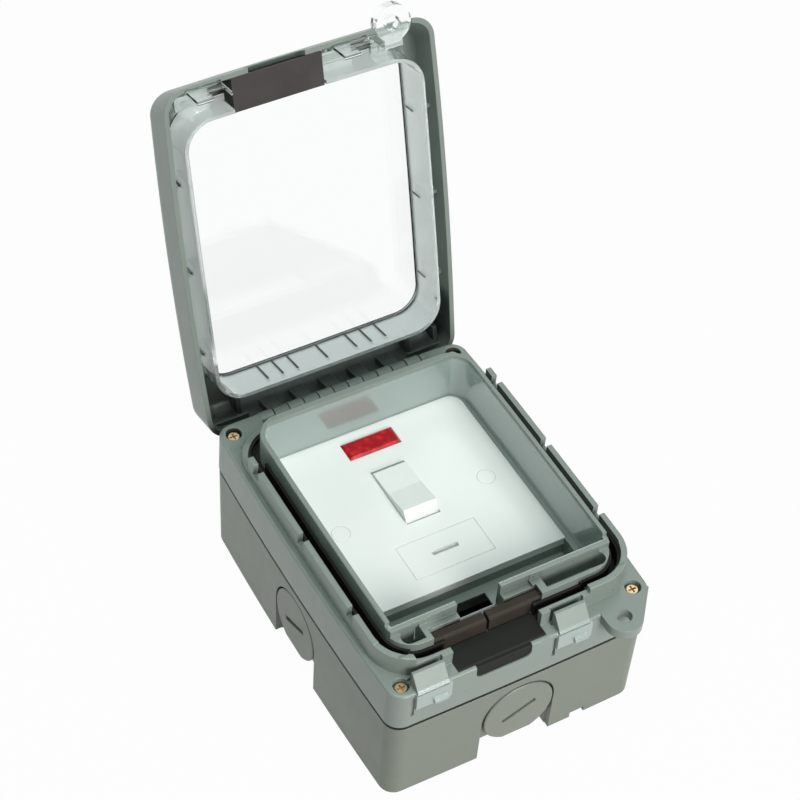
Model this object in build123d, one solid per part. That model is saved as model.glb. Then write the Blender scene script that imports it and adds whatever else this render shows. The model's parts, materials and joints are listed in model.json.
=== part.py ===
from build123d import *
import os

# Weatherproof switched fused spur: a wall box with a sealed, hinged, clear-fronted cover.
# Millimetres. Origin at the centre of the wall face, +Z out of the wall, +Y towards the hinge.
# The lid is built shut, then swung open about its hinge to where it leans on its stop.

# Overall heights above the wall
BOX_TOP = 38.6
GASKET_T = 1.8
COVER_BASE = BOX_TOP + GASKET_T
DECK = 57.5
RIM_TOP = 66.5
WELL_TOP = 71.0
LID_BASE = 57.9
LID_TOP = 76.0

# Plan of the enclosure: half widths at the corners, with sides that bow outwards
HALF_X = 51.7
HALF_Y = 68.0
BOW_X = 1.6
BOW_Y = 0.5
CORNER_R = 6.2
SCREW_X = 46.25
SCREW_Y = 62.6

# Back box
WALL = 2.8
FLOOR = 3.0
FIX_X = 34.0
FIX_Y = 48.0
FIX_R = 2.6

# Conduit entries with coin-slot plugs
PLUG_Z = 20.7
PLUG_R = 14.0
PLUG_PROUD = 0.7
SEAT_DEPTH = 2.4
THREAD_R = 10.0
NOTCH_H = 8.3
NOTCH_DEPTH = 7.5

# Well, seal channel and rim of the cover
WELL_X = 42.7
WELL_WALL = 1.7
WELL_BACK = 51.9
WELL_FRONT = -47.2
WELL_FLOOR = 46.0
CHANNEL_W = 4.1
CHANNEL_FLOOR = 54.6
CHANNEL_FRONT = -55.8
RIM_WALL = 2.2
RIM_BACK_END = 42.9
NOTCHES_Y = (36.7, 2.1, -33.6)

# Cable entry, latch catches and padlock eye, in the front wall
ENTRY_X = -9.0
CATCH_OFFSET = 27.85
CATCH_W = 14.6
CATCH_FACE = -69.0
CATCH_TOP = 63.6
LUG_W = 5.6
EYE_X = 36.6
EYE_Y = -72.0
EYE_R = 6.9
EYE_HOLE_R = 2.9

# Hinge
HINGE_Y = 66.7
HINGE_Z = 53.8
PIN_R = 1.5
PIN_FIT = 0.06
KNUCKLE_R = 3.3
KNUCKLE_PITCH = 6.2
KNUCKLE_COUNT = 11
LID_ANGLE = 104.6

# Lid: upright sides with a rounded top edge, and a free end that slopes back
LID_X = 51.9
LID_BACK = 70.9
LID_WALL = 1.8
LID_ROUND = 6.2
FREE_END = (-71.9, -63.2)
FLANGE_Z = 71.8

# Face plate and what sits in it
PLATE_Z = 49.5
PLATE_T = 3.5
PLATE_X = 41.2
PLATE_Y0 = -28.1
PLATE_Y1 = 50.7
CAP_X = 30.15
CAP_Y = 9.5
CAP_R = 3.4
NEON_Y = 42.2
NEON_L = 21.4
NEON_W = 8.2
ROCKER_Y = 16.2
ROCKER_W = 13.6
ROCKER_Z = 44.4
ROCKER_END_Y = 11.2
ROCKER_END_Z = 7.7
ROCKER_TILT = 6.5
CARRIER_Y = -13.1
CARRIER_L = 32.2
CARRIER_W = 15.8
FUSE_Z = 38.0
FUSE_L = 25.4
FUSE_R = 3.17

BOTTOM = (Align.CENTER, Align.CENTER, Align.MIN)


def bowed(half_x, y0, y1, bow_x=BOW_X, bow_y=BOW_Y, radius=CORNER_R):
    """Rounded rectangle whose four sides bow outwards."""
    mid = (y0 + y1) / 2
    sides = [
        ThreePointArc((-half_x, y0), (0, y0 - bow_y), (half_x, y0)),
        ThreePointArc((half_x, y0), (half_x + bow_x, mid), (half_x, y1)),
        ThreePointArc((half_x, y1), (0, y1 + bow_y), (-half_x, y1)),
        ThreePointArc((-half_x, y1), (-half_x - bow_x, mid), (-half_x, y0)),
    ]
    face = make_face(sides)
    return fillet(face.vertices(), radius)


def slab(sketch, z0, z1, taper=0.0):
    """Sketch pulled up from z0 to z1."""
    return Pos(0, 0, z0) * extrude(sketch, z1 - z0, taper=taper)


def block(x0, x1, y0, y1, z0, z1):
    """Box between two opposite corners."""
    return Pos((x0 + x1) / 2, (y0 + y1) / 2, (z0 + z1) / 2) * Box(x1 - x0, y1 - y0, z1 - z0)


def upright(x, y, z0, z1, radius):
    """Cylinder standing on z0."""
    return Pos(x, y, z0) * Cylinder(radius, z1 - z0, align=BOTTOM)


def along_x(x0, x1, y, z, radius):
    """Cylinder lying along X."""
    return Pos((x0 + x1) / 2, y, z) * Rot(0, 90, 0) * Cylinder(radius, x1 - x0)


def corners(x, y):
    """The four corner places of a centred rectangle."""
    return [(sx * x, sy * y) for sx in (-1, 1) for sy in (-1, 1)]


def profile_x(points, x0, x1):
    """Closed outline in the YZ plane, pulled along X from x0 to x1."""
    face = make_face(Polyline(*[(y, z) for y, z in points], close=True))
    return Pos(x0, 0, 0) * (Plane.YZ * extrude(face, x1 - x0))


# Conduit entries: where each one sits on the outside of the box

def entry_places():
    """Location of each entry, with local +Z pointing out of the wall and local +Y up."""
    front = HALF_Y + BOW_Y - 0.5
    side = HALF_X + BOW_X - 1.0
    outward = [(0, -front), (side, 0), (0, front), (-side, 0)]
    places = []
    for x, y in outward:
        out = Vector(x, y, 0).normalized()
        across = Vector(-out.Y, out.X, 0)
        places.append(Plane(origin=(x, y, PLUG_Z), x_dir=across, z_dir=out).location)
    return places


def seat_outline(radius):
    """Round seat of a plug, open down to the edge of the box."""
    return Circle(radius) + Pos(0, -PLUG_Z / 2 - 1) * Rectangle(2 * radius, PLUG_Z + 2)


def make_back_box():
    top_outline = bowed(HALF_X - 0.2, 0.1 - HALF_Y, HALF_Y - 0.1)
    outer = Pos(0, 0, BOX_TOP) * Rot(180, 0, 0) * extrude(top_outline, BOX_TOP, taper=0.7)
    inner = slab(bowed(HALF_X - 0.6 - WALL, WALL - HALF_Y, HALF_Y - WALL, radius=4.0), FLOOR, BOX_TOP + 1)
    outer = fillet(outer.faces().sort_by(Axis.Z)[-1].edges(), 0.4)
    box = outer - inner
    for place in entry_places():
        box += outer & (place * Pos(0, 36 / 2 - PLUG_Z, -6) * Box(35, 36, 9.5))
    for x, y in corners(SCREW_X, SCREW_Y):
        box += upright(x, y, 0, BOX_TOP - 0.4, 4.4) & outer
    for x, y in corners(FIX_X, FIX_Y):
        box += upright(x, y, 0, FLOOR + 1.6, 6.0)
    for place in entry_places():
        seat = extrude(seat_outline(PLUG_R + 0.8), SEAT_DEPTH + 4)
        box -= place * Pos(0, 0, -SEAT_DEPTH) * seat
        deep = Pos(0, NOTCH_H / 2 - PLUG_Z - 1, 0) * Box(2 * PLUG_R + 1, NOTCH_H + 2, 2 * NOTCH_DEPTH)
        box -= place * deep
        box -= place * Pos(0, 0, -8) * Cylinder(THREAD_R + 0.1, 16)
    for x, y in corners(SCREW_X, SCREW_Y):
        box -= upright(x, y, 18, BOX_TOP + 1, 1.6)
    for x, y in corners(FIX_X, FIX_Y):
        box -= upright(x, y, -1, 12, FIX_R)
    # earth post beside the lower entry, and one shallow drain notch in the wall edge
    box += upright(30, -30, 0, 9, 4.2)
    box -= upright(30, -30, 2, 12, 1.3)
    box -= block(24.0, 30.0, -HALF_Y - 1, -HALF_Y + 4, -1, 2.6)
    return box


def make_plugs():
    plugs = []
    for place in entry_places():
        disc = Pos(0, 0, 0.9 - SEAT_DEPTH) * Cylinder(PLUG_R, SEAT_DEPTH - 0.9 + PLUG_PROUD, align=BOTTOM)
        disc = chamfer(disc.faces().sort_by(Axis.Z)[-1].edges(), 0.35)
        disc -= Pos(0, NOTCH_H - PLUG_Z - 5, 0) * Box(30, 10, 12)
        stem = Pos(0, 0, -8.0) * Cylinder(THREAD_R - 0.05, 8.0 - 1.4, align=BOTTOM)
        hollow = Pos(0, 0, -8.1) * Cylinder(THREAD_R - 2.2, 6.0, align=BOTTOM)
        slot = Pos(0, 0, PLUG_PROUD) * Rot(0, 0, 23.5) * Box(14.2, 2.1, 2.2)
        plugs.append(place * (disc + stem - hollow - slot))
    return Compound(plugs)


def make_plug_seals():
    seals = []
    for place in entry_places():
        ring = Cylinder(PLUG_R - 0.6, 0.9, align=BOTTOM) - Cylinder(THREAD_R + 0.15, 0.9, align=BOTTOM)
        seals.append(place * Pos(0, 0, -SEAT_DEPTH) * ring)
    return Compound(seals)


def make_box_gasket():
    outer = bowed(HALF_X - 0.25, 0.25 - HALF_Y, HALF_Y - 0.25)
    inner = bowed(HALF_X - 2.5, 2.5 - HALF_Y, HALF_Y - 2.5, radius=4.2)
    return slab(outer, BOX_TOP, COVER_BASE) - slab(inner, BOX_TOP - 1, COVER_BASE + 1)


# Front cover

def plate_outline(grow):
    """Outline of the face plate: square at the front, rounded at the back."""
    middle = (PLATE_Y0 + PLATE_Y1) / 2
    outline = Pos(0, middle) * Rectangle(2 * (PLATE_X + grow), PLATE_Y1 - PLATE_Y0 + 2 * grow)
    return fillet(outline.vertices().group_by(Axis.Y)[-1], 5.5 + grow)


def well_outline(grow):
    """Inner outline of the well at its top, grown outwards."""
    return bowed(WELL_X - 0.4 + grow, CHANNEL_FRONT + WELL_WALL - grow, WELL_BACK + grow, 0.4, 0.3, 8.5 + grow)


def hinge_segments():
    """Start and end of each knuckle along X; the odd ones belong to the lid."""
    first = -KNUCKLE_PITCH * KNUCKLE_COUNT / 2
    gap = 0.2
    return [(first + i * KNUCKLE_PITCH + gap, first + (i + 1) * KNUCKLE_PITCH - gap) for i in range(KNUCKLE_COUNT)]


def make_catch(start):
    """One latch catch: a ramp plate, the face below it, and a small lug on that face."""
    face = CATCH_FACE
    ramp = [(-61.5, 53.0), (-66.0, 50.0), (face + 0.5, 52.0), (face + 0.5, 57.1), (face, 57.4), (-64.4, CATCH_TOP),
            (-63.2, CATCH_TOP), (-63.2, 56.4), (-61.5, 56.4)]
    catch = profile_x(ramp, start + 1.0, start + CATCH_W - 1.4)
    catch += block(start + 0.6, start + CATCH_W, face, -66.0, 49.4, 56.8)
    middle = start + CATCH_W / 2
    lug = [(face + 0.2, 53.0), (face - 1.1, 51.2), (face - 1.1, 50.0), (face + 0.2, 50.0)]
    return catch + profile_x(lug, middle, middle + LUG_W)


def eye_outline():
    """Padlock eye running tangentially into the corner of the cover."""
    web = Polyline((EYE_X - EYE_R, EYE_Y), (EYE_X - EYE_R, -64.0), (50.6, -62.5), (51.2, -65.2), (42.3, -75.9), close=True)
    return Pos(EYE_X, EYE_Y) * Circle(EYE_R) + make_face(web)


def front_wall_cutout():
    """Opening in the front wall where the flex comes out, rounded at its foot."""
    cut = block(ENTRY_X - 10.9, ENTRY_X + 10.9, -HALF_Y - 3, -HALF_Y + 3.2, 51.5, DECK + 2)
    return fillet(cut.edges().filter_by(Axis.Y).group_by(Axis.Z)[0], 2.6)


def make_front_cover():
    body = slab(bowed(HALF_X, -HALF_Y, HALF_Y), COVER_BASE, DECK, taper=0.9)
    body = fillet(body.faces().sort_by(Axis.Z)[-1].edges(), 1.0)
    rim_outer = well_outline(WELL_WALL + CHANNEL_W + RIM_WALL)
    rim = fillet(slab(rim_outer, DECK - 1, RIM_TOP).faces().sort_by(Axis.Z)[-1].edges(), 0.5)
    rim = rim & block(-60, 60, -80, RIM_BACK_END, 50, 80)
    back_wall = slab(rim_outer, DECK - 1, 59.4) & block(-60, 60, RIM_BACK_END, 80, 50, 80)
    well = slab(well_outline(WELL_WALL), WELL_FLOOR - 2, WELL_TOP)
    well = fillet(well.faces().sort_by(Axis.Z)[-1].edges(), 0.5)
    cover = body + rim + back_wall

    # seal channel, then the well standing inside it
    channel = slab(well_outline(WELL_WALL + CHANNEL_W), CHANNEL_FLOOR, WELL_TOP + 1)
    cover = cover - channel + well

    # underside: hollow round the channel and under the well floor
    hollow = slab(bowed(HALF_X - 2.4, 2.4 - HALF_Y, HALF_Y - 2.4, radius=4.0), COVER_BASE - 1, DECK - 2.4)
    under_channel = slab(well_outline(WELL_WALL + CHANNEL_W + 1.8), COVER_BASE - 1, CHANNEL_FLOOR - 1.8)
    core = slab(well_outline(WELL_WALL), 43.8, WELL_TOP)
    outside_rim = hollow - slab(well_outline(WELL_WALL + CHANNEL_W + 1.8), COVER_BASE - 2, DECK)
    cover = cover - (under_channel - core) - outside_rim
    # pan below the front of the well, where the flex drops into the box
    cover += block(1.0 - WELL_X, WELL_X - 1.0, WELL_FRONT - 1.6, PLATE_Y0 + 3.4, COVER_BASE + 0.1, WELL_FLOOR)
    for x, y in corners(SCREW_X, SCREW_Y):
        cover += upright(x, y, COVER_BASE + 0.2, DECK - 1, 4.4) & body

    # well cavity, its front trough and the opening for the wiring module
    cavity = slab(well_outline(0) & Pos(0, 1.9) * Rectangle(120, 2 * 49.1), PLATE_Z, WELL_TOP + 1)
    cover -= cavity
    cover -= slab(plate_outline(0), WELL_FLOOR, PLATE_Z + 1)
    cover -= block(-WELL_X + 2.0, WELL_X - 2.0, WELL_FRONT, PLATE_Y0 + 0.1, COVER_BASE + 1.3, PLATE_Z + 1)
    cover -= block(ENTRY_X - 10.0, ENTRY_X + 15.0, -46.6, -31.5, COVER_BASE - 1, WELL_FLOOR)
    cover -= block(-26.4, 26.4, -24.4, 48.4, COVER_BASE, WELL_FLOOR + 1)
    for side in (-1, 1):
        cover += upright(side * CAP_X, CAP_Y, 41.5, WELL_FLOOR, 3.4)
        cover -= upright(side * CAP_X, CAP_Y, 41.0, WELL_FLOOR + 1, 1.4)
    return finish_front(cover)


def finish_front(cover):
    """Front wall of the cover: cable entry, pockets, catches, padlock eye and hinge trough."""
    # notches in the rim where the lid's gussets drop in
    for y in NOTCHES_Y:
        cover -= block(-60, 60, y - 2.0, y + 2.0, 61.8, RIM_TOP + 1) & (
            block(-60, -47.0, -60, 60, 50, 80) + block(47.0, 60, -60, 60, 50, 80))
    # the rim drops between its two front corners, and the front of the well is lower than its sides
    cover -= block(-40.0, 27.8, -63.5, CHANNEL_FRONT - 1, 63.8, RIM_TOP + 1)
    cover -= block(-60, 60, -58.0, WELL_FRONT - 2.0, 66.0, WELL_TOP + 1)
    cover -= block(-60, 60, WELL_FRONT - 2.1, WELL_FRONT + 1, 69.0, WELL_TOP + 1)
    # pockets either side of the cable entry
    left = block(-40.4, -32.4, CHANNEL_FRONT + 1.4, WELL_FRONT - 1.3, 55.5, 67)
    right = block(15.2, 40.4, CHANNEL_FRONT + 1.4, WELL_FRONT - 1.3, 57.0, 67)
    left = fillet(left.edges().filter_by(Axis.Z).group_by(Axis.X)[0], 2.8)
    right = fillet(right.edges().filter_by(Axis.Z).group_by(Axis.X)[-1], 2.8)
    cover = cover - left - right
    cover -= block(-33.6, -32.4, WELL_FRONT - 1.4, WELL_FRONT + 1, 58.0, 65.0)
    # bed of the inner rubber pads and the way for the flex between the two hook arms
    cover -= block(ENTRY_X - 21.3, ENTRY_X + 21.3, CHANNEL_FRONT - 0.5, -51.6, 57.2, 70)
    cover -= block(ENTRY_X - 8.6, ENTRY_X + 8.6, -52.0, WELL_FRONT + 1, 57.5, 72)
    for side in (-1, 1):
        near, far = sorted((ENTRY_X + side * 8.6, ENTRY_X + side * 20.0))
        cover -= block(near, far, -51.7, WELL_FRONT - 1.8, 65.0, 72)
    # bed of the outer rubber block, behind a thin front wall with a rounded cut-out
    cover -= block(ENTRY_X - 17.4, ENTRY_X + 17.4, -HALF_Y + 1.3, CHANNEL_FRONT - 0.2, 51.5, RIM_TOP)
    cover -= front_wall_cutout()
    cover += block(ENTRY_X - 18.6, ENTRY_X + 18.6, -HALF_Y + 1.3, CHANNEL_FRONT + 0.2, 49.9, 51.5)
    # latch catches, each in front of a slot and right of a groove, and the padlock eye
    for side in (-1, 1):
        start = ENTRY_X + side * CATCH_OFFSET - CATCH_W / 2
        cover -= block(start + 0.4, start + CATCH_W - 1.0, -64.0, -61.2, 55.5, RIM_TOP)
        cover += make_catch(start)
        cover -= block(start - 0.9, start + 0.4, -70.0, -67.3, 45.4, 55.5)
    cover += slab(eye_outline(), DECK - 4.0, DECK)
    cover -= upright(EYE_X, EYE_Y, DECK - 5, DECK + 1, EYE_HOLE_R)
    # hinge trough with its knuckles, bored for the pin
    length = KNUCKLE_PITCH * KNUCKLE_COUNT / 2
    cover -= block(-length, length, HINGE_Y - KNUCKLE_R - 0.6, HALF_Y + 3, HINGE_Z - KNUCKLE_R - 0.6, 60)
    floor_z = HINGE_Z - KNUCKLE_R - 0.6
    cover += block(-length - 1, length + 1, HINGE_Y - KNUCKLE_R - 2.2, HALF_Y - 1, floor_z - 1.8, floor_z)
    cover += block(-length - 1, length + 1, HINGE_Y - KNUCKLE_R - 2.2, HINGE_Y - KNUCKLE_R - 0.6, floor_z, DECK)
    for x0, x1 in hinge_segments()[0::2]:
        foot = block(x0, x1, HINGE_Y - KNUCKLE_R, HINGE_Y + 1.0, floor_z - 0.5, HINGE_Z)
        cover += along_x(x0, x1, HINGE_Y, HINGE_Z, KNUCKLE_R) + foot
    cover -= along_x(-length - 2, length + 2, HINGE_Y, HINGE_Z, PIN_R)
    # counterbored screw holes
    for x, y in corners(SCREW_X, SCREW_Y):
        cover -= upright(x, y, COVER_BASE - 1, DECK + 1, 1.9)
        cover -= upright(x, y, DECK - 3.4, DECK + 1, 3.0)
    return cover


def make_cover_screws():
    screws = []
    for x, y in corners(SCREW_X, SCREW_Y):
        head = upright(x, y, DECK - 3.4, DECK - 1.4, 2.5)
        head = chamfer(head.faces().sort_by(Axis.Z)[-1].edges(), 0.5)
        head -= Pos(x, y, DECK - 1.8) * (Box(3.0, 0.7, 2.0) + Box(0.7, 3.0, 2.0))
        screws.append(head + upright(x, y, 24.0, DECK - 3.3, 1.55))
    return Compound(screws)


def make_hinge_pin():
    length = KNUCKLE_PITCH * KNUCKLE_COUNT / 2
    return along_x(-length - 1.0, length + 1.0, HINGE_Y, HINGE_Z, PIN_R)


# Seals

def make_lid_seal():
    """Black seal in the channel: a base with two lips and a groove for the lid's clear wall."""
    gap = 0.05
    seal = slab(well_outline(WELL_WALL + CHANNEL_W - gap), CHANNEL_FLOOR, 63.8)
    seal -= slab(well_outline(WELL_WALL + gap), CHANNEL_FLOOR - 1, 65)
    groove = slab(well_outline(WELL_WALL + 3.15), 56.6, 65) - slab(well_outline(WELL_WALL + 0.95), 50, 65)
    seal -= groove
    seal -= block(-60, 60, 40, 80, 58.8, 70)
    seal -= block(-39.6, 27.4, -70, CHANNEL_FRONT + 1, 62.6, 70)
    return seal - block(ENTRY_X - 17.6, ENTRY_X + 17.6, -80, -50, 50, 70)


def make_cable_seal():
    """Outer rubber block of the cable entry, with a neck that fills the wall's cut-out."""
    block_top = 57.9
    body = block(ENTRY_X - 17.3, ENTRY_X + 17.3, -HALF_Y + 1.4, CHANNEL_FRONT - 0.3, 51.6, block_top)
    body = chamfer(body.faces().sort_by(Axis.Z)[-1].edges().filter_by(Axis.X), 0.4)
    neck = block(ENTRY_X - 10.7, ENTRY_X + 10.7, -HALF_Y + 0.2, -HALF_Y + 1.6, 51.7, block_top - 0.8)
    neck = fillet(neck.edges().filter_by(Axis.Y).group_by(Axis.Z)[0], 2.5)
    return body + neck


def make_entry_pads():
    """Two brown rubber pads that grip the flex behind the block."""
    pads = []
    for side in (-1, 1):
        near, far = sorted((ENTRY_X + side * 0.6, ENTRY_X + side * 21.1))
        pad = block(near, far, CHANNEL_FRONT + 0.2, -51.7, 57.3, 63.8)
        near, far = sorted((ENTRY_X + side * 0.6, ENTRY_X + side * 17.1))
        pad += block(near, far, CHANNEL_FRONT - 0.25, CHANNEL_FRONT + 0.4, 57.3, 63.0)
        pads.append(chamfer(pad.edges().filter_by(Axis.X).group_by(Axis.Z)[-1], 0.6))
    return Compound(pads)


# Lid, built shut

def open_lid(shape):
    """Swings a lid piece from shut to its open rest."""
    return shape.rotate(Axis((0, HINGE_Y, HINGE_Z), (1, 0, 0)), -LID_ANGLE)


def window_outline(grow):
    """Outline of the clear wall's inner face, grown outwards."""
    return bowed(45.3 + grow, -57.1 - grow, 54.9 + grow, 0.4, 0.3, 10.5 + grow)


def lid_shape(inset, z0, z1, rounding):
    """Solid of the lid: upright sides, a free end that slopes back, and a rounded top; all moved in by inset."""
    lean = (FREE_END[1] - FREE_END[0]) / (LID_TOP - LID_BASE)
    shift = inset * (1 + lean ** 2) ** 0.5

    def outline(z):
        front = FREE_END[0] + shift + (z - LID_BASE) * lean
        return Pos(0, 0, z) * bowed(LID_X - inset, front, LID_BACK - inset, radius=9.0 - inset)

    shape = loft([outline(z0), outline(z1)], ruled=True)
    return fillet(shape.faces().sort_by(Axis.Z)[-1].edges(), rounding)


def make_lid_frame():
    outer = lid_shape(0.0, LID_BASE, LID_TOP, LID_ROUND)
    frame = outer - lid_shape(LID_WALL, LID_BASE - 1, LID_TOP - 2.4, LID_ROUND - LID_WALL)
    frame -= slab(window_outline(0.3), LID_BASE, LID_TOP + 1)
    # gussets that drop into the notches of the cover's rim
    for y in NOTCHES_Y:
        for side in (-1, 1):
            x0, x1 = sorted((side * 48.9, side * 51.8))
            frame += block(x0, x1, y - 0.7, y + 0.7, 63.0, LID_TOP - 2.0) & outer
    # ribs and a ledge on the hinge side, and knuckles on arms that run up the back wall
    for side in (-1, 1):
        for x in (side * 36.0, side * 48.0):
            frame += block(x - 0.8, x + 0.8, 62.0, 69.6, 66.0, LID_TOP - 2.0) & outer
        x0, x1 = sorted((side * 34.0, side * 49.0))
        frame += block(x0, x1, 67.2, 69.6, 62.2, 63.2) & outer
    for x0, x1 in hinge_segments()[1::2]:
        arm = block(x0, x1, HINGE_Y - 0.4, HINGE_Y + KNUCKLE_R, HINGE_Z, 67.0)
        frame += along_x(x0, x1, HINGE_Y, HINGE_Z, KNUCKLE_R) + arm
    length = KNUCKLE_PITCH * KNUCKLE_COUNT / 2
    frame -= along_x(-length, length, HINGE_Y, HINGE_Z, PIN_R + PIN_FIT)
    # slot for the flex, relief round the clips, and the gap for the clear padlock ring
    slot = block(ENTRY_X - 10.9, ENTRY_X + 10.9, -76, -66.5, LID_BASE - 1, 64.0)
    frame -= fillet(slot.edges().filter_by(Axis.Y).group_by(Axis.Z)[-1], 2.6)
    for side in (-1, 1):
        middle = ENTRY_X + side * CATCH_OFFSET
        frame -= block(middle - 6.7, middle + 6.7, -71.0, -66.0, LID_BASE - 1, 60.6)
    frame -= block(EYE_X - EYE_R - 0.3, EYE_X + EYE_R + 0.3, -80, -60, LID_BASE - 1, 62.3)
    return open_lid(frame)


def make_clip(x0, x1):
    """One clip: a plate off the flange that leans with the lid's free end and forks over the catch's lug."""
    side_view = [(-57.0, 70.2), (-57.0, FLANGE_Z + 0.2), (-63.0, FLANGE_Z + 0.2), (-68.8, 60.3), (-70.5, 58.4),
                 (-70.5, 48.2), (-69.15, 48.2), (-69.15, 49.2), (-69.4, 49.6), (-69.4, 58.4), (-67.7, 60.3), (-62.6, 70.2)]
    clip = profile_x(side_view, x0, x1)
    middle = (x0 + x1) / 2
    return clip - block(middle - 0.4, middle + LUG_W + 0.4, -72, -69, 47, 53.6)


def make_lid_window():
    window = slab(window_outline(2.9), FLANGE_Z, LID_TOP - 2.4)
    window &= lid_shape(LID_WALL, LID_BASE - 1, LID_TOP - 2.4, LID_ROUND - LID_WALL)
    pane = slab(window_outline(0.0), FLANGE_Z, LID_TOP - 0.6)
    window += fillet(pane.faces().sort_by(Axis.Z)[-1].edges(), 0.9)
    wall = slab(window_outline(1.4), 57.3, FLANGE_Z + 0.1) - slab(window_outline(0), 50, FLANGE_Z)
    wall -= block(ENTRY_X - 17.6, ENTRY_X + 17.6, -70, -50, 50, 66.4)
    window += wall
    # short ribs on the hinge side, over every gap between the knuckles that has one
    for step in (-4, -3, -2, 0, 2, 3, 4):
        x = step * KNUCKLE_PITCH
        window += block(x - 0.45, x + 0.45, 56.0, 58.4, 59.9, 64.2)
    for y in NOTCHES_Y:
        for side in (-1, 1):
            x0, x1 = sorted((side * 46.4, side * 48.0))
            window += block(x0, x1, y + 1.6, y + 2.5, 67.0, FLANGE_Z)
    for side in (-1, 1):
        middle = ENTRY_X + side * CATCH_OFFSET
        window += make_clip(middle - 6.4, middle + 6.4)
    # padlock ring and the post that carries it
    ring = upright(EYE_X, EYE_Y, LID_BASE, 61.9, EYE_R)
    ring += block(EYE_X - 3.5, EYE_X + 3.5, EYE_Y, -62.5, LID_BASE + 1.0, 61.9)
    post = block(EYE_X - 3.5, EYE_X + 3.5, -63.1, -62.5, LID_BASE + 1.0, FLANGE_Z + 0.2)
    shelf = block(EYE_X - 3.5, EYE_X + 3.5, -63.1, -55.5, 70.2, FLANGE_Z + 0.2)
    window += ring + post + shelf
    window -= upright(EYE_X, EYE_Y, 50, 70, EYE_HOLE_R)
    return open_lid(window)


def make_lid_cable_seal():
    side_view = [(-70.0, 58.3), (-56.9, 58.3), (-56.9, 66.2), (-66.1, 66.2)]
    return open_lid(profile_x(side_view, ENTRY_X - 17.3, ENTRY_X + 17.3))


# Face plate and wiring accessory

def make_faceplate():
    plate = slab(plate_outline(-0.1), PLATE_Z - PLATE_T, PLATE_Z)
    plate -= block(-NEON_L / 2 - 0.05, NEON_L / 2 + 0.05, NEON_Y - NEON_W / 2 - 0.05, NEON_Y + NEON_W / 2 + 0.05, 40, 60)
    half = ROCKER_W / 2 + 0.12
    reach = rocker_reach() + 0.12
    plate -= block(-half, half, ROCKER_Y - reach, ROCKER_Y + reach, 40, 60)
    half_l = CARRIER_L / 2 + 0.06
    half_w = CARRIER_W / 2 + 0.06
    plate -= block(-half_l, half_l, CARRIER_Y - half_w, CARRIER_Y + half_w, 40, 60)
    for side in (-1, 1):
        plate -= upright(side * CAP_X, CAP_Y, 40, 60, 1.9)
        plate -= upright(side * CAP_X, CAP_Y, PLATE_Z - 2.4, 60, CAP_R + 0.05)
    return plate


def make_plate_screws():
    screws = []
    for side in (-1, 1):
        head = upright(side * CAP_X, CAP_Y, PLATE_Z - 2.4, PLATE_Z - 1.0, 2.9)
        screws.append(head + upright(side * CAP_X, CAP_Y, 41.8, PLATE_Z - 2.3, 1.35))
    return Compound(screws)


def make_screw_caps():
    caps = []
    for side in (-1, 1):
        cap = upright(side * CAP_X, CAP_Y, PLATE_Z - 0.9, PLATE_Z + 0.05, CAP_R)
        caps.append(chamfer(cap.faces().sort_by(Axis.Z)[-1].edges(), 0.1))
    return Compound(caps)


def make_neon_lens():
    lens = block(-NEON_L / 2, NEON_L / 2, NEON_Y - NEON_W / 2, NEON_Y + NEON_W / 2, PLATE_Z - PLATE_T, PLATE_Z + 0.9)
    lens = chamfer(lens.faces().sort_by(Axis.Z)[-1].edges(), 0.9)
    return lens - block(-8.5, 8.5, NEON_Y - 2.9, NEON_Y + 2.9, 40, PLATE_Z - 0.8)


def make_neon_lamp():
    glass = along_x(-7.0, 7.0, NEON_Y, PLATE_Z - 4.2, 2.5)
    return chamfer(glass.edges(), 1.0)


def rocker_reach():
    """Radius of the rocker's ends about its pivot."""
    return (ROCKER_END_Y ** 2 + ROCKER_END_Z ** 2) ** 0.5


def rocker_profile():
    """Side view of the rocker about its pivot: two flats in a shallow V, with ends struck as arcs."""
    reach = rocker_reach()
    foot_y = (reach ** 2 - 1.4 ** 2) ** 0.5
    mid_y = (reach ** 2 - 4.6 ** 2) ** 0.5
    edges = [
        Polyline((-ROCKER_END_Y, ROCKER_END_Z), (0, ROCKER_END_Z - 0.8), (ROCKER_END_Y, ROCKER_END_Z)),
        ThreePointArc((ROCKER_END_Y, ROCKER_END_Z), (mid_y, 4.6), (foot_y, 1.4)),
        Polyline((foot_y, 1.4), (foot_y - 1.6, 0.2), (3.0, -1.8), (-3.0, -1.8), (1.6 - foot_y, 0.2), (-foot_y, 1.4)),
        ThreePointArc((-foot_y, 1.4), (-mid_y, 4.6), (-ROCKER_END_Y, ROCKER_END_Z)),
    ]
    return make_face(edges)


def make_rocker():
    body = Plane.YZ * extrude(rocker_profile(), ROCKER_W / 2, both=True)
    body = fillet(body.edges().filter_by(Axis.X).group_by(Axis.Z)[-1], 0.5)
    body += along_x(-ROCKER_W / 2 - 1.6, ROCKER_W / 2 + 1.6, 0, 0, 1.2)
    return Pos(0, ROCKER_Y, ROCKER_Z) * Rot(-ROCKER_TILT, 0, 0) * body


# Wiring module behind the plate: fuse, switch, neon and terminals

MODULE_X = 26.0
MODULE_Y0 = -24.0
MODULE_Y1 = 48.0
MODULE_Z0 = 24.0
MODULE_WALL = 1.8
TERMINAL_PLACES = ((-19.5, 36.5), (19.5, 36.5), (-19.5, 4.0), (19.5, 4.0))
BRIDGE_X = (-4.0, 4.0)
BRIDGE_Z = 32.5
BRIDGE_TILT = 9.0


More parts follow.
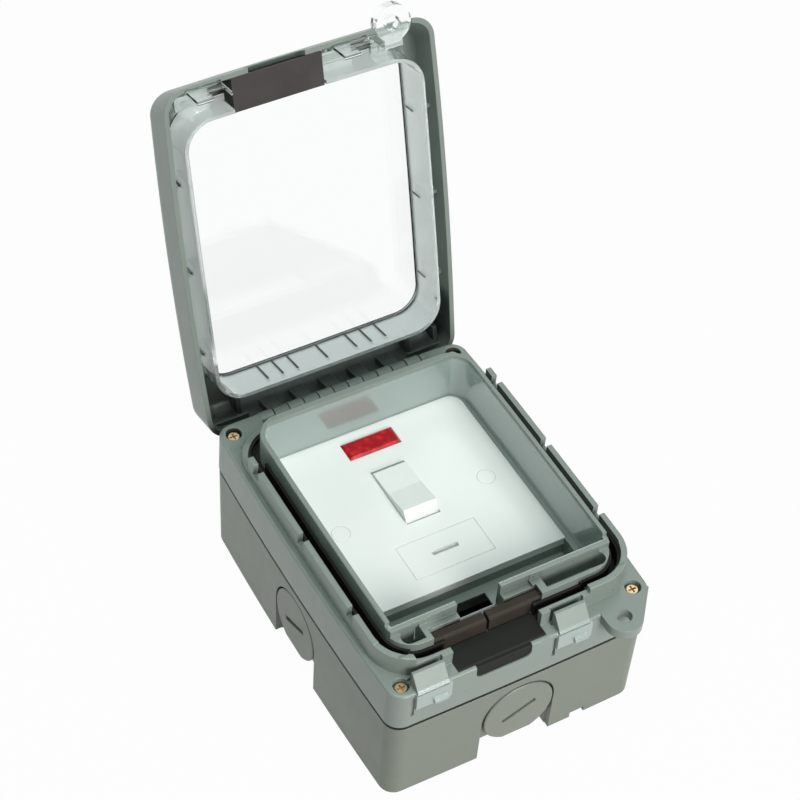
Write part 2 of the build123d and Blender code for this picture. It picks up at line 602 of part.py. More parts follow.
def make_carrier():
    """Fuse carrier: a drawer that lifts straight out of the plate with the fuse clipped under it."""
    half_l = CARRIER_L / 2
    half_w = CARRIER_W / 2
    carrier = block(-half_l, half_l, -half_w, half_w, 43.5, PLATE_Z + 0.05)
    carrier = chamfer(carrier.faces().sort_by(Axis.Z)[-1].edges(), 0.1)
    carrier -= block(-5.4, 5.2, -0.9, 0.9, PLATE_Z - 2.2, PLATE_Z + 1)
    # two jaws hold the fuse by its middle and one stop stands at each end
    jaw = block(-5.6, 5.6, -5.2, 5.2, 35.5, 43.6) - along_x(-8, 8, 0, FUSE_Z, FUSE_R + 0.05)
    jaw -= block(-8, 8, -2.4, 2.4, 30, FUSE_Z)
    carrier += jaw
    for side in (-1, 1):
        x0, x1 = sorted((side * (FUSE_L / 2 + 0.3), side * (half_l - 0.4)))
        carrier += block(x0, x1, -4.5, 4.5, 36.0, 43.6)
    return Pos(0, CARRIER_Y, 0) * carrier


def make_fuse_body():
    tube = along_x(-FUSE_L / 2 + 0.6, FUSE_L / 2 - 0.6, CARRIER_Y, FUSE_Z, FUSE_R - 0.35)
    return tube - along_x(-FUSE_L / 2, FUSE_L / 2, CARRIER_Y, FUSE_Z, 1.9)


def make_fuse_caps():
    caps = []
    for side in (-1, 1):
        x0, x1 = sorted((side * (FUSE_L / 2), side * (FUSE_L / 2 - 5.8)))
        cap = along_x(x0, x1, CARRIER_Y, FUSE_Z, FUSE_R)
        hx0, hx1 = sorted((side * (FUSE_L / 2 - 0.6), side * (FUSE_L / 2 - 6.0)))
        caps.append(cap - along_x(hx0, hx1, CARRIER_Y, FUSE_Z, FUSE_R - 0.35))
    return Compound(caps)


def make_fuse_contacts():
    """Spring clips that the fuse caps drop between."""
    clips = []
    for side in (-1, 1):
        x0, x1 = sorted((side * 7.6, side * 12.0))
        clip = block(x0, x1, -4.3, 4.3, 31.6, 38.4) - block(x0 - 1, x1 + 1, -3.6, 3.6, 32.3, 39)
        clip += block(x0, x1, -0.8, 0.8, MODULE_Z0 + MODULE_WALL, 32.0)
        clips.append(Pos(0, CARRIER_Y, 0) * clip)
    return Compound(clips)


def make_module_housing():
    """Open-topped moulding under the plate with a cell for each function."""
    outer = block(-MODULE_X, MODULE_X, MODULE_Y0, MODULE_Y1, MODULE_Z0, PLATE_Z - PLATE_T)
    w = MODULE_WALL
    inner = block(-MODULE_X + w, MODULE_X - w, MODULE_Y0 + w, MODULE_Y1 - w, MODULE_Z0 + w, 60)
    housing = outer - inner
    housing = fillet(housing.edges().filter_by(Axis.Z).group_by(SortBy.LENGTH)[-1], 1.0)
    top = PLATE_Z - PLATE_T
    # walls either side of the rocker, carrying its pivots in open bearings
    for side in (-1, 1):
        x0, x1 = sorted((side * (ROCKER_W / 2 + 0.4), side * (ROCKER_W / 2 + 2.0)))
        cheek = block(x0, x1, ROCKER_Y - 14.0, ROCKER_Y + 14.0, MODULE_Z0 + w - 0.1, top)
        housing += cheek
    housing -= along_x(-9.2, 9.2, ROCKER_Y, ROCKER_Z, 1.2 + PIN_FIT)
    housing -= block(-9.2, 9.2, ROCKER_Y - 1.15, ROCKER_Y + 1.15, ROCKER_Z, 60)
    # cross wall between the switch and the fuse
    housing += block(-MODULE_X + 1, MODULE_X - 1, -4.2, -3.0, MODULE_Z0 + w - 0.1, 43.0)
    # fulcrums of the moving contacts
    for x in BRIDGE_X:
        housing += block(x - 1.6, x + 1.6, ROCKER_Y - 1.0, ROCKER_Y + 1.0, MODULE_Z0 + w - 0.1, BRIDGE_Z - 1.3)
    # wiring holes under the terminals
    for x, y in TERMINAL_PLACES:
        housing -= upright(x, y, MODULE_Z0 - 1, MODULE_Z0 + w + 1, 2.2)
    return housing


def make_terminals():
    terminals = []
    for x, y in TERMINAL_PLACES:
        body = block(x - 4.0, x + 4.0, y - 4.5, y + 4.5, MODULE_Z0 + MODULE_WALL, 36.0)
        body -= upright(x, y, MODULE_Z0, 33.0, 1.9)
        body -= Pos(x, y, 30.5) * Rot(90, 0, 0) * Cylinder(1.25, 12)
        terminals.append(body)
    return Compound(terminals)


def make_terminal_screws():
    screws = []
    for x, y in TERMINAL_PLACES:
        out = 1 if y > 10 else -1
        screw = Pos(x, y + out * 4.3, 30.5) * Rot(90, 0, 0) * Cylinder(1.2, 4.4)
        screw -= Pos(x, y + out * 6.5, 30.5) * Box(2.6, 1.2, 0.5)
        screws.append(screw)
    return Compound(screws)


def make_contact_bridges():
    """Moving contacts of the double-pole switch, rocking on their fulcrums."""
    bridges = []
    for x in BRIDGE_X:
        bar = block(x - 1.5, x + 1.5, -8.5, 8.5, -0.4, 0.4)
        bar += upright(x, 7.2, -1.2, 0.0, 1.1) + upright(x, -7.2, -1.2, 0.0, 1.1)
        bridges.append(Pos(0, ROCKER_Y, BRIDGE_Z) * Rot(BRIDGE_TILT, 0, 0) * bar)
    return Compound(bridges)


def make_plungers():
    """Two sprung plungers under the rocker that push the moving contacts over."""
    pins = [upright(x, 0, -10.0, -1.8, 1.6) for x in BRIDGE_X]
    return Compound([Pos(0, ROCKER_Y, ROCKER_Z) * Rot(-ROCKER_TILT, 0, 0) * pin for pin in pins])


def make_fixed_contacts():
    contacts = []
    for x in BRIDGE_X:
        for side in (-1, 1):
            y = ROCKER_Y + side * 7.2
            post = block(x - 1.3, x + 1.3, y - 1.4, y + 1.4, MODULE_Z0 + MODULE_WALL, 29.2)
            contacts.append(post)
    return Compound(contacts)


def make_earth_terminal():
    """Brass earth clamp on its post inside the back box."""
    body = block(25.5, 34.5, -34.0, -26.0, 9.0, 16.0)
    body -= Pos(30, -30, 12.2) * Rot(90, 0, 0) * Cylinder(2.0, 20)
    return body - upright(30, -30, 12, 20, 1.6)


def make_earth_screw():
    screw = upright(30, -30, 12.6, 17.6, 1.5) + upright(30, -30, 16.0, 18.0, 2.6)
    return screw - Pos(30, -30, 18) * Box(6, 0.8, 1.6)


def main_parts():
    return {
        "back_box": make_back_box(),
        "blanking_plugs": make_plugs(),
        "plug_seals": make_plug_seals(),
        "box_gasket": make_box_gasket(),
        "front_cover": make_front_cover(),
        "cover_screws": make_cover_screws(),
        "hinge_pin": make_hinge_pin(),
        "lid_seal": make_lid_seal(),
        "cable_seal": make_cable_seal(),
        "entry_pads": make_entry_pads(),
        "lid_frame": make_lid_frame(),
        "lid_window": make_lid_window(),
        "lid_cable_seal": make_lid_cable_seal(),
        "faceplate": make_faceplate(),
        "plate_screws": make_plate_screws(),
        "screw_caps": make_screw_caps(),
        "neon_lens": make_neon_lens(),
        "neon_lamp": make_neon_lamp(),
        "rocker": make_rocker(),
        "fuse_carrier": make_carrier(),
        "fuse_body": make_fuse_body(),
        "fuse_caps": make_fuse_caps(),
        "fuse_contacts": make_fuse_contacts(),
        "module_housing": make_module_housing(),
        "terminals": make_terminals(),
        "terminal_screws": make_terminal_screws(),
        "plungers": make_plungers(),
        "contact_bridges": make_contact_bridges(),
        "fixed_contacts": make_fixed_contacts(),
        "earth_terminal": make_earth_terminal(),
        "earth_screw": make_earth_screw(),
    }


os.makedirs("parts", exist_ok=True)
for name, shape in main_parts().items():
    export_step(shape, f"parts/{name}.step")
    print(name, round(shape.volume, 1), len(shape.solids()))
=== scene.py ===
import json
import math

import bpy
from mathutils import Matrix, Vector


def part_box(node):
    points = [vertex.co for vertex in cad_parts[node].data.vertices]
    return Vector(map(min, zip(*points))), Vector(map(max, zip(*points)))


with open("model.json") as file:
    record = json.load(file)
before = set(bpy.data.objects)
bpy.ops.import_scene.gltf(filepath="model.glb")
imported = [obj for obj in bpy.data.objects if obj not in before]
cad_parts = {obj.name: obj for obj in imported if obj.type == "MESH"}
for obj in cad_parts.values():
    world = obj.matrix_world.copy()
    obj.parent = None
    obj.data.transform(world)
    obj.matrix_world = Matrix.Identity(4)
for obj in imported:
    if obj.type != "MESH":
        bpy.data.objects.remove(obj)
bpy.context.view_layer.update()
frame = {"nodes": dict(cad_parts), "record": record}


# Back box
# A deep box moulded in grey-green thermoplastic, with the fine grain of a spark-eroded mould on its
# outside. It is screwed to the wall through its floor, and every other piece hangs on it.

EDGE_RADIUS = 0.0004
WEAR_REACH = 0.0007
# How far the painted shade in hollows reaches.
SHADE_REACH = 0.0140
BOX_GREY = (0.169, 0.190, 0.155)


class Value:
    """A socket among shader nodes, with Python's operators for numbers."""

    def __init__(self, shading, socket):
        self.shading = shading
        self.socket = socket

    def maths(self, operation, other):
        return self.shading.node("ShaderNodeMath", {"operation": operation}, [self, other])

    def __add__(self, other):
        return self.maths("ADD", other)

    def __sub__(self, other):
        return self.maths("SUBTRACT", other)

    def __rsub__(self, other):
        return self.shading.node("ShaderNodeMath", {"operation": "SUBTRACT"}, [other, self])

    def __mul__(self, other):
        return self.maths("MULTIPLY", other)

    __radd__ = __add__
    __rmul__ = __mul__

    def clamped(self):
        """The number held between 0 and 1."""
        return self.maths("MINIMUM", 1.0).maths("MAXIMUM", 0.0)

    def above(self, low, soft):
        """0 under low, rising to 1 over soft."""
        return ((self - low) * (1.0 / soft)).clamped()

    def below(self, high, soft):
        """0 past high, and 1 from soft under it."""
        return ((high - self) * (1.0 / soft)).clamped()

    def between(self, low, high, soft):
        """1 between low and high, easing to 0 over soft inside them."""
        return self.above(low, soft) * self.below(high, soft)


class Shading:
    """The nodes of a material or of the world, each added by one method."""

    def __init__(self, tree):
        self.tree = tree

    def node(self, kind, settings, inputs, output=0):
        """Adds a node: its settings first, then the values or links of its sockets."""
        made = self.tree.nodes.new(kind)
        for key, setting in settings.items():
            setattr(made, key, setting)
        pairs = inputs.items() if isinstance(inputs, dict) else enumerate(inputs)
        for key, given in pairs:
            if isinstance(given, Value):
                self.join(given, made.inputs[key])
            else:
                made.inputs[key].default_value = given
        return Value(self, made.outputs[output])

    def join(self, value, target):
        self.tree.links.new(value.socket, target)

    def blend(self, factor, first, second):
        """Mixes two colours; each is a colour or a link."""
        first, second = (end if isinstance(end, Value) else (*end, 1.0) for end in (first, second))
        inputs = {0: factor, 6: first, 7: second}
        return self.node("ShaderNodeMix", {"data_type": "RGBA"}, inputs, output=2)

    def ray(self, fact):
        """What the light path says of a ray, such as Is Shadow Ray."""
        return self.node("ShaderNodeLightPath", {}, [], output=fact)


class Finish(Shading):
    """A material: its Principled shader, and patterns on the piece's own coordinates."""

    def __init__(self, name, **sockets):
        self.material = bpy.data.materials.new(name)
        self.material.use_nodes = True
        super().__init__(self.material.node_tree)
        self.shader = self.tree.nodes["Principled BSDF"]
        self.surface = self.tree.nodes["Material Output"].inputs["Surface"]
        for socket, value in sockets.items():
            self.shader.inputs[socket.replace("_", " ")].default_value = value
        self.place = self.node("ShaderNodeTexCoord", {}, [], output="Object")

    def feed(self, socket, value):
        self.join(value, self.shader.inputs[socket])

    def noise(self, scale, detail=3.0, rough=0.55):
        inputs = {"Vector": self.place, "Scale": scale, "Detail": detail, "Roughness": rough}
        return self.node("ShaderNodeTexNoise", {"noise_dimensions": "3D"}, inputs)

    def axis(self, name):
        """X, Y or Z of the place on the piece."""
        return self.node("ShaderNodeSeparateXYZ", {}, [self.place], output=name)

    def within(self, axis, low, high, soft=0.0004):
        """1 between low and high along an axis."""
        return self.axis(axis).between(low, high, soft)

    def softened(self, radius):
        """The surface's direction with its edges rounded off by radius."""
        return self.node("ShaderNodeBevel", {"samples": 6}, {"Radius": radius})

    def edges(self, radius):
        """1 on edges and 0 on flat places."""
        flat = self.node("ShaderNodeNewGeometry", {}, [], output="Normal")
        inputs = [self.softened(radius), flat]
        turned = self.node("ShaderNodeVectorMath", {"operation": "DOT_PRODUCT"}, inputs, output="Value")
        return ((1.0 - turned) * 5.0).clamped()

    def bump(self, height, depth, strength=1.0, edge=None):
        inputs = {"Height": height, "Strength": strength, "Distance": depth}
        if edge is not None:
            inputs["Normal"] = self.softened(edge)
        self.feed("Normal", self.node("ShaderNodeBump", {}, inputs))


def tinted(colour, gain, lift=0.0):
    """A colour made darker or lighter."""
    return tuple(min(1.0, gain * part + lift) for part in colour)


def moulded(
    name, colour, roughness, grain=9000.0, grain_depth=0.00002,
    polish_and_light=None, lit_tone=None, painted_shade=None, **sockets,
):
    """Injection-moulded plastic: mould grain, faint flow marks, and edges rounded and rubbed pale.

    polish is the function of a mask. Where it gives 1, the plastic is glossy and takes the colour tone, a
    painted lighter shade.
    grime is another. Where it gives 1, painted shade darkens the corners and hollows.
    """
    finish = Finish(name, Roughness=roughness, IOR=1.52, **sockets)
    flow = finish.noise(scale=28.0, detail=4.0)
    rubs = finish.noise(scale=160.0, detail=5.0, rough=0.65)
    worn = finish.edges(WEAR_REACH) * (rubs * 0.8 + 0.2)
    shade = finish.blend(flow, tinted(colour, 0.93), tinted(colour, 1.05))
    rough = (rubs - 0.5) * 0.18 + (flow - 0.5) * 0.10 + roughness - worn * 0.10
    # Painted light: the polish mask also lightens the colour to tone, as if more brightly lit.
    if polish_and_light is not None:
        gloss_and_light = polish_and_light(finish)
        shade = finish.blend(gloss_and_light, shade, lit_tone)
        rough = rough * (1.0 - gloss_and_light * 0.55)
        finish.feed("Coat Weight", gloss_and_light)
    # Painted shade: the colour darkens to near black in hollows and corners.
    if painted_shade is not None:
        inputs = {"Distance": SHADE_REACH}
        open_side = finish.node("ShaderNodeAmbientOcclusion", {"samples": 8}, inputs, output="AO")
        painted_dark = ((1.0 - open_side) * 1.3 * painted_shade(finish)).clamped()
        shade = finish.blend(painted_dark * 0.95, shade, tinted(colour, 0.10))
    finish.feed("Base Color", finish.blend(worn * 0.5, shade, tinted(colour, 1.35)))
    finish.feed("Roughness", rough)
    finish.bump(finish.noise(scale=grain, detail=2.0, rough=0.5), grain_depth, edge=EDGE_RADIUS)
    return finish.material


def dress(material, *nodes):
    """Gives CAD pieces their finish."""
    for node in nodes:
        mesh = frame["nodes"][node].data
        mesh.materials.clear()
        mesh.materials.append(material)


dress(moulded("box_plastic", BOX_GREY, 0.40), "back_box")


# Blanking plugs
# Each conduit entry of the box is closed by a moulded disc of the same plastic, which is screwed in with
# a coin in the slot across its face.

PLUG_GREY = (0.190, 0.206, 0.176)

dress(moulded("plug_plastic", PLUG_GREY, 0.42), "blanking_plugs")


# Plug washers and box gasket
# Flat black rubber, cut as rings for the plugs and as one frame between the box and its cover. The
# screws squeeze it, and only its edge is seen.

SEAL_BLACK = (0.0085, 0.009, 0.008)
RUBBER_ROUGHNESS = 0.62


def rubbery(name, colour):
    """Moulded rubber: nearly matt, with a faint bloom, and edges made paler by a painted highlight."""
    finish = Finish(name, Roughness=RUBBER_ROUGHNESS, IOR=1.45, Specular_IOR_Level=0.16)
    bloom = finish.noise(scale=90.0, detail=4.0)
    shade = finish.blend(bloom, colour, tinted(colour, 1.7, lift=0.006))
    painted_edge_highlight = tinted(colour, 2.5, lift=0.035)
    # Painted highlight: the edges' colour is lightened.
    finish.feed("Base Color", finish.blend(finish.edges(0.0003) * 0.8, shade, painted_edge_highlight))
    finish.feed("Roughness", (bloom - 0.5) * 0.2 + RUBBER_ROUGHNESS)
    finish.bump(finish.noise(scale=5200.0, detail=2.0), 0.00002)
    return finish.material


seal_rubber = rubbery("seal_rubber", SEAL_BLACK)
dress(seal_rubber, "plug_seals", "box_gasket")


# Earth terminal
# A brass block on the post in the box's floor. A plated steel screw through it clamps the earth wires.
# Both are guessed from such boxes, as they are out of sight behind the plate.

BRASS = (0.80, 0.62, 0.30)
PLATED_STEEL = (0.62, 0.60, 0.56)


def metal(name, colour, roughness):
    """Plated or bare metal with fine marks."""
    finish = Finish(name, Metallic=1.0, Roughness=roughness)
    marks = finish.noise(scale=900.0, detail=4.0)
    finish.feed("Base Color", finish.blend(marks, tinted(colour, 0.85), colour))
    finish.feed("Roughness", (marks - 0.5) * 0.25 + roughness)
    finish.bump(marks, 0.00001)
    return finish.material


brass = metal("brass", BRASS, 0.28)
screw_metal = metal("screw_metal", PLATED_STEEL, 0.30)
dress(brass, "earth_terminal")
dress(screw_metal, "earth_screw")


# Front cover
# One moulding with the deck, the notched rim, the seal's channel, the well, the catches and the lower
# knuckles. The well's walls and the catches' fronts are glossy, and painted a lighter, bluer grey as if
# more brightly lit. Painted shade darkens the hinge's trough and the pan between the plate and the flex
# entry.

COVER_GREY = (0.212, 0.252, 0.230)
# A painted lighter, bluer copy of the cover's grey, for the well's walls and the catches' fronts.
PAINTED_LIGHT_GREY = (0.262, 0.322, 0.312)
plate_low, plate_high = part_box("faceplate")
entry_low, entry_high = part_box("cable_seal")
WELL_SIDE = plate_high.x + 0.0023
WELL_BACK = plate_high.y + 0.0024
WELL_FRONT = plate_low.y - 0.0198
WELL_FLOOR = plate_high.z - 0.0003
WELL_BRIM = 0.0694
CATCH_MIDDLE = (entry_low.x + entry_high.x) / 2
CATCH_NEAR = 0.0205
CATCH_FAR = 0.0352
CATCH_FRONT = (-0.0720, -0.0680)
CATCH_HEIGHT = (0.0490, 0.0645)
TROUGH_DEPTH = (0.0545, 0.0900)
PAN_DEPTH = (-0.0560, -0.0440)
PAN_WIDTH = (-0.0280, 0.0180)


def well_walls(finish):
    """Inside the well's outline and above its floor."""
    across = finish.within("X", -WELL_SIDE, WELL_SIDE)
    along = finish.within("Y", WELL_FRONT, WELL_BACK)
    return across * along * finish.within("Z", WELL_FLOOR, WELL_BRIM)


def catch_faces(finish):
    """The fronts of the two catches, either side of the flex entry."""
    left = finish.within("X", CATCH_MIDDLE - CATCH_FAR, CATCH_MIDDLE - CATCH_NEAR)
    right = finish.within("X", CATCH_MIDDLE + CATCH_NEAR, CATCH_MIDDLE + CATCH_FAR)
    front = finish.within("Y", *CATCH_FRONT, soft=0.0002)
    return (left + right) * front * finish.within("Z", *CATCH_HEIGHT)


# Glossy places, whose colour is also painted lighter as if more brightly lit.
def gloss_and_painted_light(finish):
    return (well_walls(finish) + catch_faces(finish)).clamped()


def shaded_places(finish):
    """Where shade is painted: the hinge's trough, and the pan between the plate and the flex entry."""
    trough = finish.within("Y", *TROUGH_DEPTH, soft=0.001) * 1.6
    pan = finish.within("Y", *PAN_DEPTH, soft=0.001) * finish.within("X", *PAN_WIDTH, soft=0.008)
    return (trough + pan * 1.7).clamped()


cover_plastic = moulded(
    "cover_plastic", COVER_GREY, 0.31, polish_and_light=gloss_and_painted_light, lit_tone=PAINTED_LIGHT_GREY, painted_shade=shaded_places,
    Coat_Roughness=0.09, Coat_IOR=1.7,
)
dress(cover_plastic, "front_cover")


# Cover screws
# Four steel screws, passivated to a pale gold, which hold the cover and its gasket down on the posts at
# the box's corners.

PASSIVATED = (0.66, 0.51, 0.31)

dress(metal("passivated", PASSIVATED, 0.36), "cover_screws")


# Lid seal
# A strip of soft black rubber pressed into the channel round the well. The lid's clear wall drops into
# the groove between its two lips.

dress(seal_rubber, "lid_seal")


# Flex entry
# A black rubber block with a half-round neck in the slot of the cover's front wall, and two brown pads
# behind it. They are pushed into their pockets and grip the flex.

PAD_BROWN = (0.023, 0.018, 0.014)

dress(seal_rubber, "cable_seal")
dress(rubbery("pad_rubber", PAD_BROWN), "entry_pads")


# Hinge pin
# A plated steel rod, pushed from one side through the knuckles of the cover and of the lid in turn. The
# lid swings on it.

dress(screw_metal, "hinge_pin")


# Lid frame
# A grey rim, moulded like the cover, with gussets that drop into the notches of the cover's rim and
# knuckles that turn on the pin. Its foot is darkened with painted shade.

LID_GREY = (0.188, 0.220, 0.202)
FOOT_HEIGHT = (0.0300, 0.0760)
FOOT_DEPTH = (0.0560, 0.0900)


def shaded_lid_foot(finish):
    """The end of the frame by its knuckles, darkened with painted shade."""
    return finish.within("Z", *FOOT_HEIGHT, soft=0.008) * finish.within("Y", *FOOT_DEPTH, soft=0.001) * 1.5


dress(moulded("lid_plastic", LID_GREY, 0.33, painted_shade=shaded_lid_foot), "lid_frame")


# Lid window
# A tray moulded in clear plastic and fixed in the frame, with the wall that enters the seal. That wall is
# painted with a pale glow for the light that runs along inside it, and with a dark stripe of painted shade
# where a rib stands on it.

WINDOW_TINT = (0.975, 0.992, 0.988, 1.0)
PASSED_LIGHT = (0.95, 0.98, 0.97, 1.0)
WALL_GLOW = (0.90, 0.96, 0.95)
RIB_PAINTED_SHADE = (0.03, 0.045, 0.04)
WALL_HEIGHT = 0.0716
BACK_RIB_FOOT = 0.0612
SIDE_RIB_FOOT = 0.0655
RIB_RISE = 0.0004
RIB_PITCH = 0.0062
BACK_WALL = (0.0500, 0.0800)
BACK_RIBS = [step * RIB_PITCH for step in (0, -2, 2, -3, 3, -4, 4)]
SIDE_RIBS = (0.0388, 0.0042, -0.0316)
CLEAR = {"Roughness": 0.03, "IOR": 1.49, "Transmission_Weight": 1.0}
RING_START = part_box("lid_frame")[1].z - 0.0034
hinge = next(joint for joint in frame["record"]["behaviour"]["joints"] if joint["name"] == "lid_hinge")
hinge_y, hinge_z = hinge["pos_m"][1:]
open_angle = math.radians(hinge["range_deg"][1])


def let_light_by(finish, surface):
    """Clear plastic casts almost no shadow."""
    open_air = finish.node("ShaderNodeBsdfTransparent", {}, {"Color": PASSED_LIGHT})
    inputs = [finish.ray("Is Shadow Ray") * 0.85, surface, open_air]
    finish.join(finish.node("ShaderNodeMixShader", {}, inputs), finish.surface)


def stripes(place, middles, half, soft):
    """1 within half of each middle."""
    bands = [place.between(middle - half, middle + half, soft) for middle in middles]
    return sum(bands[1:], bands[0])


window = Finish("window_plastic", Base_Color=WINDOW_TINT, Specular_IOR_Level=0.0, **CLEAR)
from_pin_y = window.axis("Y") - hinge_y
from_pin_z = window.axis("Z") - hinge_z
shut_y = from_pin_y * math.cos(open_angle) - from_pin_z * math.sin(open_angle) + hinge_y
shut_z = from_pin_y * math.sin(open_angle) + from_pin_z * math.cos(open_angle) + hinge_z
wall = shut_z.below(WALL_HEIGHT, 0.0006) * window.axis("Z").below(RING_START, 0.001)
on_back_wall = window.within("Z", *BACK_WALL, soft=0.002) * shut_z.above(BACK_RIB_FOOT, RIB_RISE)
back_marks = stripes(window.axis("X"), BACK_RIBS, 0.0006, 0.0002) * on_back_wall
side_marks = stripes(shut_y, SIDE_RIBS, 0.0007, 0.0003) * shut_z.above(SIDE_RIB_FOOT, RIB_RISE)
ribs = (back_marks + side_marks).clamped()
# Painted light and shade: the wall gets a pale, half-metallic glow, and a painted dark stripe on each rib.
glow = window.blend(ribs, WALL_GLOW, RIB_PAINTED_SHADE)
painted_glow = window.node("ShaderNodeBsdfPrincipled", {}, {"Base Color": glow, "Metallic": 0.72, "Roughness": 0.10})
clear_shader = Value(window, window.shader.outputs["BSDF"])
let_light_by(window, window.node("ShaderNodeMixShader", {}, [wall * (ribs * 0.4 + 0.42), clear_shader, painted_glow]))
window.bump(window.noise(scale=60.0, detail=2.0), 0.0001, strength=0.25)
dress(window.material, "lid_window")


# Lid block
# The upper half of the flex entry: a block of black rubber held in the lid, which closes on the lower
# one and grips the flex with it.

BLOCK_BLACK = (0.036, 0.032, 0.032)

dress(rubbery("block_rubber", BLOCK_BLACK), "lid_cable_seal")


# Module housing
# The moulding under the face plate that carries the switch, the fuse and the terminals. It is pressed in
# the same white urea as the plate, glossy from the mould.

UREA_WHITE = (0.855, 0.880, 0.865)

plate_white = moulded("plate_white", UREA_WHITE, 0.20, grain=4000.0, grain_depth=0.000004)
dress(plate_white, "module_housing")


# Terminals
# Four brass blocks slid into the housing. In each, a plated screw clamps the wires of the supply or of
# the load.

dress(brass, "terminals")
dress(screw_metal, "terminal_screws")


# Switch
# Two brass bridges rock between the fixed contacts. The white rocker turns on its pivots and tips them
# over with a brass plunger each.

dress(brass, "fixed_contacts", "contact_bridges", "plungers")
dress(plate_white, "rocker")


# Fuse and its carrier
# A ceramic tube with brass caps lies in the white drawer, which slides into the housing and brings the
# caps between two sprung brass clips.

CERAMIC = (0.80, 0.78, 0.72)

dress(brass, "fuse_contacts", "fuse_caps")
dress(moulded("ceramic", CERAMIC, 0.3), "fuse_body")
dress(plate_white, "fuse_carrier")


# Neon
# A glass lamp, and in front of it a clear red lens snapped into the plate. The lens is moulded with fine
# cells, bright in the middle and dark at their borders.

GLASS_TINT = (0.95, 0.985, 0.975, 1.0)
CELL_MIDDLE = (0.88, 0.014, 0.030)
CELL_BORDER = (0.42, 0.007, 0.014)

glass = Finish("clear_plastic", Base_Color=GLASS_TINT, **CLEAR)
let_light_by(glass, Value(glass, glass.shader.outputs["BSDF"]))
dress(glass.material, "neon_lamp")

red = Finish("neon_red", Roughness=0.16, IOR=1.36, Transmission_Weight=0.20)
cells = red.node("ShaderNodeTexVoronoi", {"feature": "F1"}, {"Vector": red.place, "Scale": 420.0})
red.feed("Base Color", red.blend((cells * 1.6).clamped(), CELL_MIDDLE, CELL_BORDER))
dress(red.material, "neon_lens")


# Face plate
# The white plate over the housing, pressed in urea. Two plated screws hold it to the box, and white caps
# in its round wells hide them.

dress(plate_white, "faceplate", "screw_caps")
dress(screw_metal, "plate_screws")


# Studio
# A camera where the photograph was taken, large soft lamps and a pale floor. The floor and the room look
# white to the camera, in gloss and through the window, and otherwise give only a little light.

PICTURE = 800.0
SENSOR = 36.0
FOCAL_LENGTH = 2332.78
OPTICAL_CENTRE = (403.27, 399.93)
AZIMUTH = math.radians(-32.67)
ELEVATION = math.radians(47.36)
ROLL = math.radians(4.69)
DISTANCE = 0.87577
TARGET = Vector((0.02122, 0.05570, 0.05000))
MIDDLE = Vector((0.0, 0.02, 0.05))
LAMP_DISTANCE = 1.5
FLOOR_REACH = 3.0
PAPER = (0.50, 0.51, 0.49, 1.0)
WHITE = (1.0, 1.0, 1.0, 1.0)
ROOM_LIGHT = 0.11
ROOM_SEEN = 0.82
ROOM_TINT = (0.80, 1.0, 0.92)
SEEN_TINT = (0.96, 0.99, 1.0)


def direction(azimuth, elevation):
    """Away from the object: azimuth from the front towards the right, and elevation up, in radians."""
    level = Vector((math.sin(azimuth), -math.cos(azimuth), 0.0)) * math.cos(elevation)
    return level + Vector((0.0, 0.0, math.sin(elevation)))


back = direction(AZIMUTH, ELEVATION)
right = Vector((0, 0, 1)).cross(back).normalized()
up = back.cross(right)
rolled_right = right * math.cos(ROLL) + up * math.sin(ROLL)
rolled_up = up * math.cos(ROLL) - right * math.sin(ROLL)
facing = Matrix((rolled_right, rolled_up, back)).transposed().to_4x4()
lens = bpy.data.cameras.new("camera")
lens.sensor_width = SENSOR
lens.lens = FOCAL_LENGTH / PICTURE * SENSOR
lens.shift_x = (PICTURE / 2 - OPTICAL_CENTRE[0]) / PICTURE
lens.shift_y = (OPTICAL_CENTRE[1] - PICTURE / 2) / PICTURE
lens.clip_start = 0.05
camera = bpy.data.objects.new("camera", lens)
camera.matrix_world = Matrix.Translation(TARGET + back * DISTANCE) @ facing
bpy.context.scene.collection.objects.link(camera)
bpy.context.scene.camera = camera


def panel(name, place, size, watts, colour):
    """A square soft lamp aimed at the object. The window doesn't show it."""
    light = bpy.data.lights.new(name, "AREA")
    light.energy = watts
    light.color = colour
    light.size = size
    lamp = bpy.data.objects.new(name, light)
    lamp.location = place
    lamp.rotation_euler = (MIDDLE - place).to_track_quat("-Z", "Y").to_euler()
    lamp.visible_transmission = False
    bpy.context.scene.collection.objects.link(lamp)


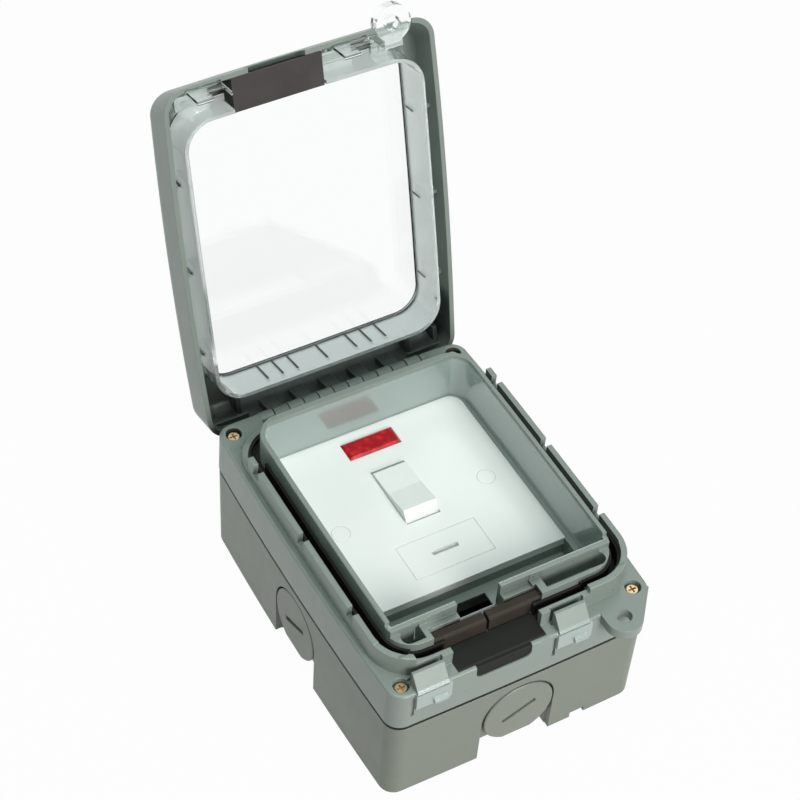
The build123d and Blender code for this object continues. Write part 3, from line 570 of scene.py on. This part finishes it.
def around(azimuth, elevation):
    """A lamp's place, in degrees round the object and up."""
    away = direction(math.radians(azimuth), math.radians(elevation))
    return away * LAMP_DISTANCE + Vector((0.0, 0.0, MIDDLE.z))


panel("front", around(6.0, 28.0), size=0.75, watts=21.5, colour=(1.0, 0.985, 0.955))
panel("top", around(0.0, 85.0), size=0.8, watts=10.3, colour=(0.91, 1.0, 0.975))
panel("rear", around(140.0, 50.0), size=0.7, watts=1.5, colour=(0.95, 1.0, 0.98))
panel("left", Vector((-0.30, 0.26, 0.20)), size=0.2, watts=0.27, colour=(0.84, 1.0, 0.93))

corners = [(FLOOR_REACH * x, FLOOR_REACH * y, 0.0) for x, y in ((-1, -1), (1, -1), (1, 1), (-1, 1))]
floor_mesh = bpy.data.meshes.new("floor")
floor_mesh.from_pydata(corners, [], [(0, 1, 2, 3)])
floor = bpy.data.objects.new("floor", floor_mesh)
bpy.context.scene.collection.objects.link(floor)

paper = Finish("paper", Base_Color=PAPER, Roughness=0.9)
after_matt = paper.ray("Diffuse Depth").clamped()
in_gloss_or_glass = (paper.ray("Is Glossy Ray") + paper.ray("Is Transmission Ray")) * (1.0 - after_matt)
shown = (paper.ray("Is Camera Ray") + in_gloss_or_glass).clamped() * 0.97
white = paper.node("ShaderNodeEmission", {}, {"Color": WHITE, "Strength": 1.0})
lit_paper = Value(paper, paper.shader.outputs["BSDF"])
paper.join(paper.node("ShaderNodeMixShader", {}, [shown, lit_paper, white]), paper.surface)
floor_mesh.materials.append(paper.material)

world = bpy.data.worlds.new("studio")
world.use_nodes = True
bpy.context.scene.world = world
room = Shading(world.node_tree)
surround = room.tree.nodes["Background"]
mirrored = room.ray("Is Glossy Ray").maths("MAXIMUM", room.ray("Is Transmission Ray"))
straight = mirrored * room.ray("Diffuse Depth").maths("LESS_THAN", 0.5)
room.join(straight * ROOM_SEEN + ROOM_LIGHT, surround.inputs["Strength"])
room.join(room.blend(straight, ROOM_TINT, SEEN_TINT), surround.inputs["Color"])

bpy.context.scene.view_settings.view_transform = "Standard"
